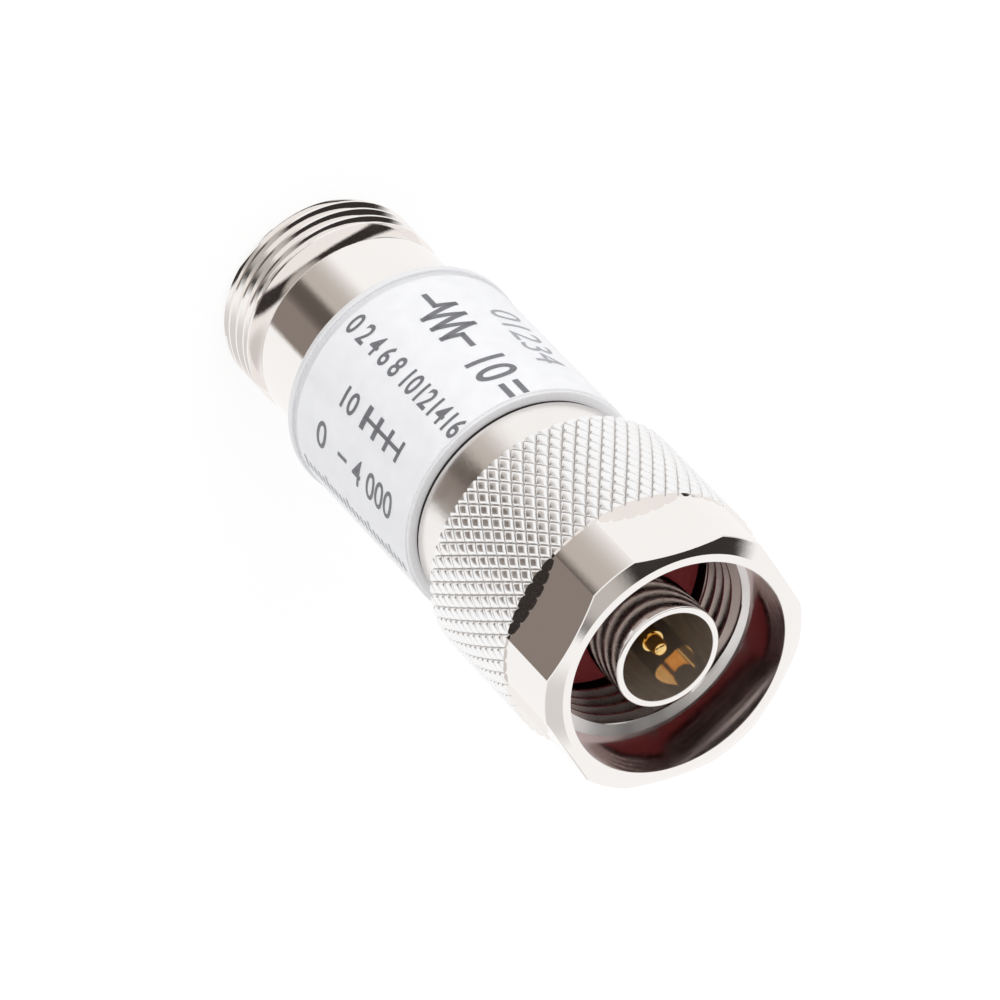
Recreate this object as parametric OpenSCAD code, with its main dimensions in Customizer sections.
// In-line coaxial attenuator: a jack (female) end, a labelled body with a resistive card inside,
// and a plug (male) end whose coupling nut turns freely on a snap ring.
// It stands on the jack's mouth: Z = 0 is the jack's end face and +Z runs along the line to the plug.
// All sizes are in millimetres.

/* [Coaxial line] */
// Bore of the outer conductor
line_outer_d = 7.0; // [6.6:0.05:7.4]
// Diameter of the centre conductor
line_inner_d = 3.04; // [2.8:0.02:3.3]
// Radial clearance between pieces that seat in one another
seat_gap = 0.02; // [0.01:0.005:0.04]
// How much wider the bead pockets are than the line's bore, on radius
bead_step = 1.4; // [1:0.1:1.8]
// Thickness of each insulating bead
bead_t = 3.0; // [2.2:0.1:3.4]
// Depth of the waist that locks a centre conductor in its bead
waist_depth = 0.42; // [0.2:0.02:0.6]

/* [Jack end] */
// Major diameter of the coupling thread
thread_d = 15.88; // [15.4:0.02:16.4]
// Chamfer that leads into the thread
lead_chamfer = 0.65; // [0.3:0.05:0.9]
// Length of full thread behind the chamfer
jack_thread_len = 3.75; // [3:0.05:5]
// Distance from one turn of the thread to the next
thread_pitch = 1.058; // [1:0.002:1.1]
// Width of the thread's crests
crest_w = 0.2; // [0.12:0.02:0.24]
// Depth of the grooves between the crests
jack_thread_depth = 0.56; // [0.4:0.02:0.6]
// Width of the relief groove behind the thread
relief_w = 1.3; // [1:0.1:2.2]
// Depth of the relief groove
relief_depth = 0.7; // [0.4:0.05:0.9]
// How far the neck lies below the thread's crests, on radius
neck_drop = 0.16; // [0.16:0.02:0.3]
// Length of the plain neck between the relief groove and the body
neck_len = 6.91; // [6:0.01:10]
// Depth of the jack's mouth, down to its contact face
jack_bore_depth = 9.1; // [8:0.1:9.8]
// Radial clearance of a mating contact sleeve in the jack's mouth
sleeve_clearance = 0.06; // [0.03:0.01:0.15]
// How far the socket's tip lies below the mouth
socket_recess = 3.8; // [3:0.1:5]
// Radial clearance of a mating pin in the socket
pin_clearance = 0.02; // [0.01:0.005:0.04]
// Depth of the socket's bore
socket_bore_depth = 4.6; // [3.8:0.1:5.5]
// Number of slots in the socket
socket_slots = 4; // [3:1:4]
// Width of each slot
socket_slot_w = 0.24; // [0.15:0.01:0.28]
// Length of each slot
socket_slot_len = 3.4; // [2:0.1:3.7]

/* [Body] */
// Width of the neck's shoulder, on which the body's rear end seats
shoulder_w = 0.23; // [0.2:0.01:0.6]
// Wall of the body under its label
body_wall = 1.6; // [1:0.05:2]
// Length of the body from its rear rim to its front face
body_len = 17.3; // [16:0.05:24]
// Height of the rear rim above the body
rim_height = 0.25; // [0.25:0.05:0.6]
// Width of the rear rim
rim_w = 0.55; // [0.4:0.05:1]
// Chamfer on the outer edges of the body
body_edge = 0.1; // [0.05:0.01:0.12]
// Length of the spigot that each connector shell has in the body
spigot_len = 3.0; // [2.6:0.1:3.6]

/* [Label] */
// Distance of the label from the rear rim
label_inset = 0.6; // [0.5:0.05:0.8]
// Distance of the label from the body's front face
label_front_margin = 0.25; // [0.25:0.05:0.6]
// Thickness of the label
label_t = 0.1; // [0.06:0.01:0.14]
// Thickness of the clear film over the label
film_t = 0.06; // [0.04:0.01:0.08]
// How far the film runs past the label at the rear
film_past_rear = 0.4; // [0.1:0.05:0.45]
// How far the film runs past the label at the front
film_past_front = 0.1; // [0.04:0.02:0.12]
// Angle left open where the label's two ends meet
label_seam = 5; // [2:1:12]

/* [Attenuator card] */
// How far each long edge of the card reaches past the line's bore, into the carrier
card_grip = 1.1; // [0.8:0.05:1.5]
// Distance from each end of the card to the connector shell
card_end_gap = 1.12; // [0.6:0.02:2]
// Thickness of the card
card_t = 0.5; // [0.38:0.02:0.64]
// Thickness of the metal and resistor films on the card
card_film_t = 0.05; // [0.03:0.01:0.08]
// Length of the contact pad at each end of the card
pad_len = 1.6; // [1.3:0.1:2]
// Width of the contact pads
pad_w = 2.4; // [1.6:0.1:2.8]
// Width of the series resistor, along the line
series_w = 1.2; // [0.6:0.1:1.6]
// Width of the shunt resistor, across the line
shunt_w = 1.0; // [0.5:0.1:1.6]
// Width of the ground strip along each long edge
ground_w = 1.0; // [0.7:0.1:1.1]
// Length of the fork that each centre conductor has on the card
fork_len = 1.2; // [0.8:0.1:1.3]

/* [Plug end] */
// Wall of the contact sleeve
sleeve_wall = 0.5; // [0.4:0.02:0.6]
// Length of the contact sleeve in front of the gasket
sleeve_len = 9.0; // [8:0.1:9.6]
// Chamfer at the sleeve's tip
sleeve_edge = 0.08; // [0.04:0.01:0.15]
// How much thicker the sleeve's root is, on radius
root_step = 0.25; // [0.15:0.05:0.4]
// How far the root stands out in front of the gasket
root_lip = 0.2; // [0.1:0.05:0.4]
// Diameter of the barrel on which the nut turns
barrel_d = 14.2; // [13.6:0.05:14.3]
// Length of the barrel in front of the body
barrel_len = 9.7; // [9:0.05:10.2]
// Diameter of the gasket
gasket_d = 15.2; // [14.4:0.1:15.4]
// Thickness of the gasket
gasket_t = 1.5; // [1:0.1:1.8]
// Diameter of the centre pin
pin_d = 1.6; // [1.5:0.02:1.7]
// Distance from the sleeve's tip back to the pin's shoulder
pin_shoulder_depth = 5.3; // [4.8:0.1:6]
// Distance from the sleeve's tip back to the pin's tip
pin_recess = 0.8; // [0.2:0.1:1.5]
// Length of the pin's tapered tip
pin_taper_len = 0.7; // [0.4:0.1:1.2]
// Diameter of the flat at the pin's tip
pin_tip_d = 0.7; // [0.4:0.1:1]

/* [Snap ring] */
// Thickness of the snap ring along the axis
ring_t = 1.0; // [0.7:0.1:1.3]
// How far the snap ring stands out of the barrel, on radius
ring_proud = 0.65; // [0.4:0.05:0.9]
// Depth of its groove in the barrel
ring_groove_depth = 0.8; // [0.5:0.1:1.2]
// Angle of the opening in the snap ring
ring_opening = 40; // [20:5:80]

/* [Coupling nut] */
// Length of the nut
nut_len = 21.4; // [19.5:0.05:24]
// Gap between the body's front face and the nut
nut_gap = 0.2; // [0.15:0.05:0.4]
// Radial running clearance between the nut and the barrel
nut_clearance = 0.08; // [0.03:0.01:0.1]
// Axial play between the nut's shoulder and the snap ring
nut_play = 0.1; // [0.05:0.05:0.3]
// Length of the nut's plain bore on the barrel
nut_bore_len = 4.5; // [3.8:0.1:4.8]
// Room between the snap ring and the nut's chamber, on radius
ring_room = 0.35; // [0.3:0.05:0.6]
// Least room between the gasket and the nut's chamber, on radius
gasket_room = 0.45; // [0.3:0.05:0.5]
// Depth of the coupling thread, from its major to its minor diameter, on radius
thread_depth = 0.5; // [0.4:0.02:0.55]
// Length of the nut's thread
nut_thread_len = 4.7; // [3.5:0.1:5.2]
// How much wider the smooth entry is than the thread, on radius
entry_room = 0.41; // [0.2:0.01:0.6]
// Depth of the smooth entry
entry_depth = 4.7; // [3.5:0.1:5.5]
// Wall between the smooth entry and the middle of each flat
flat_wall = 1.1; // [0.8:0.05:1.6]
// How far the hexagon's rounded corners stand above its flats, on radius
corner_height = 0.6; // [0.3:0.05:0.9]
// Length of the hexagon
hex_len = 6.1; // [5:0.1:7.5]
// Angle of the cone at the nut's mouth, from the end face
mouth_angle = 30; // [15:1:45]
// Width of the flat lip at the nut's mouth
lip_w = 0.6; // [0.3:0.05:0.9]
// How far the knurl stands above the hexagon's corners, on radius
knurl_rise = 0.13; // [0.05:0.01:0.4]
// How far the knurl stands above the blank that carries it, on radius
knurl_height = 0.53; // [0.4:0.01:0.8]
// Depth of the knurl's grooves
knurl_depth = 0.38; // [0.2:0.02:0.5]
// Number of diamonds round the knurl
knurl_count = 60; // [40:1:72]
// Number of half diamonds along the knurl
knurl_rows = 12; // [6:1:16]
// Length of the nut behind the knurl
band_len = 4.9; // [4:0.05:6]
// Wall of the plain band behind the knurl, round the nut's bore
band_wall = 1.32; // [1.1:0.02:1.6]
// Angle of the bevel from the plain band up to the knurl, from the end face
bevel_angle = 45; // [30:1:50]
// Chamfer on the nut's rear edge
nut_edge = 0.12; // [0.06:0.02:0.2]

/* [Hidden] */
$fn = 96;

// How far a cut runs on past the face that it opens
cut = 1;

// Colours as seen: bright nickel plate, gold plate, white insulator
nickel = [0.80, 0.78, 0.75];
gold = [0.83, 0.66, 0.30];
ptfe = [0.93, 0.93, 0.90];

// Radii of the line, from the centre pin out to the mouth of the jack
rod_r = line_inner_d / 2;
waist_r = rod_r - waist_depth;
socket_bore_r = pin_d / 2 + pin_clearance;
line_r = line_outer_d / 2;
sleeve_r = line_r + sleeve_wall;
root_r = sleeve_r + root_step;
jack_bore_r = sleeve_r + sleeve_clearance;
bead_pocket_r = line_r + bead_step;
bead_r = bead_pocket_r - seat_gap;

// Radii of the jack's shell and of the body, which follow the coupling thread
thread_r = thread_d / 2;
thread_minor_r = thread_r - thread_depth;
jack_root_r = thread_r - jack_thread_depth;
relief_r = thread_r - relief_depth;
neck_r = thread_r - neck_drop;
body_bore_r = neck_r - shoulder_w;
spigot_r = body_bore_r - seat_gap;
body_r = body_bore_r + body_wall;
rim_r = body_r + rim_height;
label_r = body_r + label_t;
film_r = label_r + film_t;

// Radii of the plug's barrel, of its snap ring and of the nut
barrel_r = barrel_d / 2;
gasket_r = gasket_d / 2;
ring_groove_r = barrel_r - ring_groove_depth;
ring_r = barrel_r + ring_proud;
nut_bore_r = barrel_r + nut_clearance;
band_r = nut_bore_r + band_wall;
chamber_r = max(ring_r + ring_room, gasket_r + gasket_room);
entry_r = thread_r + entry_room;
lip_r = entry_r + lip_w;
flat_r = entry_r + flat_wall;
corner_r = flat_r + corner_height;
knurl_r = corner_r + knurl_rise;
core_r = knurl_r - knurl_height;
knurl_root_r = knurl_r - knurl_depth;

// Places along the axis, from the jack's mouth to the sleeve's tip
relief_z = lead_chamfer + jack_thread_len;
relief_end_z = relief_z + relief_w;
neck_z = relief_end_z + neck_r - relief_r;
body_z = neck_z + neck_len;
front_z = body_z + body_len;
barrel_end_z = front_z + barrel_len;
gasket_end_z = barrel_end_z + gasket_t;
sleeve_tip_z = gasket_end_z + sleeve_len;

// Places of the label, in front of the rear rim
rim_end_z = body_z + rim_w;
label_z = rim_end_z + label_inset;
label_end_z = front_z - label_front_margin;

// Places inside the body: the card lies between the two spigots
chamber_z = body_z + spigot_len;
chamber_end_z = front_z - spigot_len;
card_z = chamber_z + card_end_gap;
card_end_z = chamber_end_z - card_end_gap;
card_w = line_outer_d + 2 * card_grip;

// Beads and bushings: each bead is trapped between its shell and a bushing
bushing_len = spigot_len - seat_gap;
jack_bead_z = chamber_z - bushing_len - bead_t;
plug_bead_z = chamber_end_z + bushing_len;

// Places of the nut: its shoulder pushes on the snap ring when it is tightened
nut_z = front_z + nut_gap;
lip_z = nut_z + nut_len;
nut_shoulder_z = nut_z + nut_bore_len;
ring_z = nut_shoulder_z + nut_play;
knurl_z = nut_z + band_len;
bevel_z = knurl_z - (core_r - band_r) * tan(bevel_angle);
hex_z = lip_z - hex_len;
entry_z = lip_z - entry_depth;
nut_thread_z = entry_z - nut_thread_len;

// A solid of revolution about the line's axis, from [radius, height] points
module turned(profile) {
  rotate_extrude() polygon(profile);
}

// A round bar or bore along the axis between two heights
module round_bar(radius, from_z, to_z) {
  translate([0, 0, from_z]) cylinder(r = radius, h = to_z - from_z);
}

// A flat ring with square edges
module flat_ring(inner_r, outer_r, from_z, to_z) {
  turned([[inner_r, from_z], [outer_r, from_z], [outer_r, to_z], [inner_r, to_z]]);
}

// A rectangular block centred on X = 0, from a low to a high Y, between two heights
module flat_block(width, low_y, high_y, from_z, to_z) {
  translate([-width / 2, low_y, from_z]) cube([width, high_y - low_y, to_z - from_z]);
}

// A film on the upper face of the card
module card_film(width, from_z, to_z) {
  flat_block(width, card_t / 2, card_t / 2 + card_film_t, from_z, to_z);
}

// Grooves of the jack's thread, as closed rings from the relief groove to the lead-in chamfer
module thread_grooves() {
  flank = jack_thread_depth * tan(30);
  far_r = thread_r + cut;
  groove_count = floor((relief_z - lead_chamfer / 4) / thread_pitch);
  for (i = [1 : groove_count]) {
    low_z = relief_z - i * thread_pitch;
    high_z = low_z + thread_pitch - crest_w;
    turned([[jack_root_r, low_z + flank], [thread_r, low_z], [far_r, low_z], [far_r, high_z],
            [thread_r, high_z], [jack_root_r, high_z - flank]]);
  }
}

// Jack shell: thread, relief groove and neck outside; mouth, line bore and bead pocket inside
module jack_shell() {
  color(nickel) difference() {
    turned([[0, 0], [thread_r - lead_chamfer, 0], [thread_r, lead_chamfer], [thread_r, relief_z],
            [relief_r, relief_z], [relief_r, relief_end_z], [neck_r, neck_z], [neck_r, body_z],
            [spigot_r, body_z], [spigot_r, chamber_z], [0, chamber_z]]);
    thread_grooves();
    round_bar(jack_bore_r, -cut, jack_bore_depth);
    round_bar(line_r, jack_bore_depth - cut, chamber_z);
    round_bar(bead_pocket_r, jack_bead_z, chamber_z + cut);
  }
}

// Insulating bead with a hole for the conductor's waist
module bead(from_z) {
  color(ptfe) flat_ring(waist_r + seat_gap, bead_r, from_z + seat_gap, from_z + bead_t - seat_gap);
}

module jack_bead() {
  bead(jack_bead_z);
}

module plug_bead() {
  bead(plug_bead_z);
}

// Bushing pressed in behind a bead, which carries the line's bore on to the carriers
module bushing(from_z) {
  color(nickel) flat_ring(line_r, bead_r, from_z, from_z + bushing_len);
}

module jack_bushing() {
  bushing(chamber_z - bushing_len);
}

module plug_bushing() {
  bushing(chamber_end_z);
}

// The slot in a conductor's end that grips the card and its contact pad
module fork_slot(from_z, to_z) {
  flat_block(2 * line_inner_d, -card_t / 2 - seat_gap, card_t / 2 + card_film_t + seat_gap, from_z, to_z);
}

// Centre conductor of the jack: slotted socket in front, waist in the bead, fork on the card
module jack_socket() {
  tip_z = socket_recess;
  waist_end_z = jack_bead_z + bead_t;
  fork_z = card_z + fork_len;
  tip_bevel = (rod_r - socket_bore_r) / 3;
  color(gold) difference() {
    turned([[0, tip_z], [rod_r - tip_bevel, tip_z], [rod_r, tip_z + tip_bevel], [rod_r, jack_bead_z],
            [waist_r, jack_bead_z], [waist_r, waist_end_z], [rod_r, waist_end_z],
            [rod_r, fork_z], [0, fork_z]]);
    round_bar(socket_bore_r, tip_z - cut, tip_z + socket_bore_depth);
    for (i = [0 : socket_slots - 1])
      rotate([0, 0, i * 360 / socket_slots])
        translate([0, -socket_slot_w / 2, tip_z - cut])
          cube([line_inner_d, socket_slot_w, socket_slot_len + cut]);
    fork_slot(card_z - seat_gap, fork_z + cut);
  }
}

// Body tube with its rear rim; the label is wrapped on the plain part in front of the rim
module body_tube() {
  color(nickel) turned([[body_bore_r, body_z], [rim_r - body_edge, body_z], [rim_r, body_z + body_edge],
                        [rim_r, rim_end_z], [body_r, rim_end_z], [body_r, front_z - body_edge],
                        [body_r - body_edge, front_z], [body_bore_r, front_z]]);
}

// One half of the split carrier: the line's channel along it and half the card's seat.
// The side is 1 for the upper half and -1 for the lower one.
module carrier_half(side) {
  far = 2 * body_bore_r;
  color(nickel) difference() {
    round_bar(spigot_r, chamber_z, chamber_end_z);
    round_bar(line_r, chamber_z - cut, chamber_end_z + cut);
    flat_block(2 * far, side > 0 ? -far : 0, side > 0 ? 0 : far, chamber_z - cut, chamber_end_z + cut);
    flat_block(card_w + 2 * seat_gap, -card_t / 2, card_t / 2 + card_film_t,
               card_z - seat_gap, card_end_z + seat_gap);
  }
}

module carrier_lower() {
  carrier_half(-1);
}

module carrier_upper() {
  carrier_half(1);
}

// Ceramic card across the channel, held along its long edges
module card() {
  color("white") flat_block(card_w, -card_t / 2, card_t / 2, card_z, card_end_z);
}

// Thin resistor film: a series strip along the line and a shunt bar across to both ground strips
module resistor_film() {
  mid_z = (card_z + card_end_z) / 2;
  color([0.25, 0.27, 0.33]) union() {
    card_film(series_w, card_z + pad_len, card_end_z - pad_len);
    card_film(card_w - 2 * ground_w, mid_z - shunt_w / 2, mid_z + shunt_w / 2);
  }
}

module pad_jack() {
  color(gold) card_film(pad_w, card_z, card_z + pad_len);
}

module pad_plug() {
  color(gold) card_film(pad_w, card_end_z - pad_len, card_end_z);
}

// Ground strip along one long edge of the card, clamped by the upper carrier
module ground_strip(side) {
  color(gold) translate([side * (card_w - ground_w) / 2, 0, 0]) card_film(ground_w, card_z, card_end_z);
}

module ground_left() {
  ground_strip(-1);
}

module ground_right() {
  ground_strip(1);
}

// Plug shell: spigot in the body, barrel with the snap ring's groove, and the thin contact sleeve
module plug_shell() {
  groove_z = ring_z - seat_gap;
  groove_end_z = ring_z + ring_t + seat_gap;
  root_end_z = gasket_end_z + root_lip;
  color(nickel) difference() {
    turned([[0, chamber_end_z], [spigot_r, chamber_end_z], [spigot_r, front_z], [barrel_r, front_z],
            [barrel_r, groove_z], [ring_groove_r, groove_z], [ring_groove_r, groove_end_z],
            [barrel_r, groove_end_z], [barrel_r, barrel_end_z], [root_r, barrel_end_z],
            [root_r, root_end_z], [sleeve_r, root_end_z], [sleeve_r, sleeve_tip_z - sleeve_edge],
            [sleeve_r - sleeve_edge, sleeve_tip_z], [0, sleeve_tip_z]]);
    round_bar(bead_pocket_r, chamber_end_z - cut, plug_bead_z + bead_t);
    round_bar(line_r, chamber_end_z, sleeve_tip_z + cut);
  }
}

// Centre conductor of the plug: fork on the card, waist in the bead, shoulder and tapered pin
module plug_pin() {
  fork_z = card_end_z - fork_len;
  waist_end_z = plug_bead_z + bead_t;
  shoulder_z = sleeve_tip_z - pin_shoulder_depth;
  tip_z = sleeve_tip_z - pin_recess;
  pin_r = pin_d / 2;
  color(gold) difference() {
    turned([[0, fork_z], [rod_r, fork_z], [rod_r, plug_bead_z], [waist_r, plug_bead_z],
            [waist_r, waist_end_z], [rod_r, waist_end_z], [rod_r, shoulder_z], [pin_r, shoulder_z],
            [pin_r, tip_z - pin_taper_len], [pin_tip_d / 2, tip_z], [0, tip_z]]);
    fork_slot(fork_z - cut, card_end_z + seat_gap);
  }
}

// Soft ring at the root of the sleeve, on which the mating jack's mouth seals
module gasket() {
  color([0.62, 0.10, 0.10]) flat_ring(root_r + seat_gap, gasket_r, barrel_end_z, gasket_end_z);
}

// Open spring ring in the barrel's groove; it stands out in front of the nut's shoulder
module snap_ring() {
  inner_r = ring_groove_r + seat_gap;
  ring_end_z = ring_z + ring_t;
  color([0.72, 0.55, 0.35]) rotate([0, 0, ring_opening / 2]) rotate_extrude(angle = 360 - ring_opening)
    polygon([[inner_r, ring_z], [ring_r, ring_z], [ring_r, ring_end_z], [inner_r, ring_end_z]]);
}

// The outside of the nut behind the hexagon, before it is knurled: rear edge, plain band and bevel
module nut_rear_blank() {
  turned([[0, nut_z], [band_r - nut_edge, nut_z], [band_r, nut_z + nut_edge], [band_r, bevel_z],
          [core_r, knurl_z], [core_r, hex_z], [0, hex_z]]);
}

// Diamond knurl, a ring of pyramids between two families of crossing grooves.
// Its points form rows of alternate tips and groove crossings; in the first row the grooves run out.
module knurl() {
  columns = 2 * knurl_count;
  inner_r = core_r - knurl_height;
  function height(row) = knurl_z + (hex_z - knurl_z) * row / knurl_rows;
  function is_tip(row, column) = row > 0 && (row + column) % 2 == 1;
  function ring_point(radius, column, z) =
    [radius * cos(360 * column / columns), radius * sin(360 * column / columns), z];
  function at(row, column) = row * columns + column % columns;
  inner_row = knurl_rows + 1;
  points = concat(
    [for (row = [0 : knurl_rows], column = [0 : columns - 1])
      ring_point(is_tip(row, column) ? knurl_r : knurl_root_r, column, height(row))],
    [for (row = [0, knurl_rows], column = [0 : columns - 1]) ring_point(inner_r, column, height(row))]);
  faces = concat(
    [for (row = [0 : knurl_rows - 1], column = [0 : columns - 1], half = [0, 1])
      let (low = at(row, column), low_next = at(row, column + 1),
           high = at(row + 1, column), high_next = at(row + 1, column + 1))
        (row + column) % 2 == 0
          ? (half == 0 ? [low, high, high_next] : [low, high_next, low_next])
          : (half == 0 ? [low, high, low_next] : [high, high_next, low_next])],
    [for (column = [0 : columns - 1])
      [at(0, column), at(0, column + 1), at(inner_row, column + 1), at(inner_row, column)]],
    [for (column = [0 : columns - 1])
      [at(knurl_rows, column + 1), at(knurl_rows, column),
       at(inner_row + 1, column), at(inner_row + 1, column + 1)]],
    [for (column = [0 : columns - 1])
      [at(inner_row, column), at(inner_row, column + 1),
       at(inner_row + 1, column + 1), at(inner_row + 1, column)]]);
  polyhedron(points, faces);
}

// The front of the nut: six milled flats on a round blank, with a cone at the mouth
module nut_hexagon() {
  cone_z = lip_z - (corner_r - lip_r) * tan(mouth_angle);
  intersection() {
    turned([[0, hex_z - cut], [corner_r, hex_z - cut], [corner_r, cone_z], [lip_r, lip_z], [0, lip_z]]);
    translate([0, 0, hex_z - cut]) cylinder(r = flat_r / cos(30), h = hex_len + 2 * cut, $fn = 6);
  }
}

// The inside of the nut: plain bore, chamber for the snap ring and gasket, thread and smooth entry
module nut_inside() {
  turned([[0, nut_z - cut], [nut_bore_r, nut_z - cut], [nut_bore_r, nut_shoulder_z],
          [chamber_r, nut_shoulder_z], [chamber_r, nut_thread_z - thread_depth],
          [thread_minor_r, nut_thread_z], [thread_minor_r, entry_z - thread_depth],
          [entry_r, entry_z], [entry_r, lip_z + cut], [0, lip_z + cut]]);
}

// Coupling nut, one turned piece
module coupling_nut() {
  color(nickel) difference() {
    union() {
      nut_rear_blank();
      knurl();
      nut_hexagon();
    }
    nut_inside();
  }
}

// A layer wrapped round the body, open at its seam on the +Y side
module wrapped(profile) {
  rotate([0, 0, 90 + label_seam / 2]) rotate_extrude(angle = 360 - label_seam) polygon(profile);
}

// Printed label
module label() {
  color([0.95, 0.95, 0.96]) wrapped([[body_r, label_z], [label_r, label_z],
                                     [label_r, label_end_z], [body_r, label_end_z]]);
}

// Clear film over the label, stuck down on the body past both of the label's edges
module label_film() {
  rear_z = label_z - film_past_rear;
  end_z = label_end_z + film_past_front;
  color([0.86, 0.87, 0.90, 0.4]) wrapped([[body_r, rear_z], [film_r, rear_z],
                                          [film_r, end_z], [body_r, end_z],
                                          [body_r, label_end_z], [label_r, label_end_z],
                                          [label_r, label_z], [body_r, label_z]]);
}

jack_shell();
jack_bead();
jack_bushing();
jack_socket();
body_tube();
carrier_lower();
carrier_upper();
card();
resistor_film();
pad_jack();
pad_plug();
ground_left();
ground_right();
plug_shell();
plug_bead();
plug_bushing();
plug_pin();
gasket();
snap_ring();
coupling_nut();
label();
label_film();
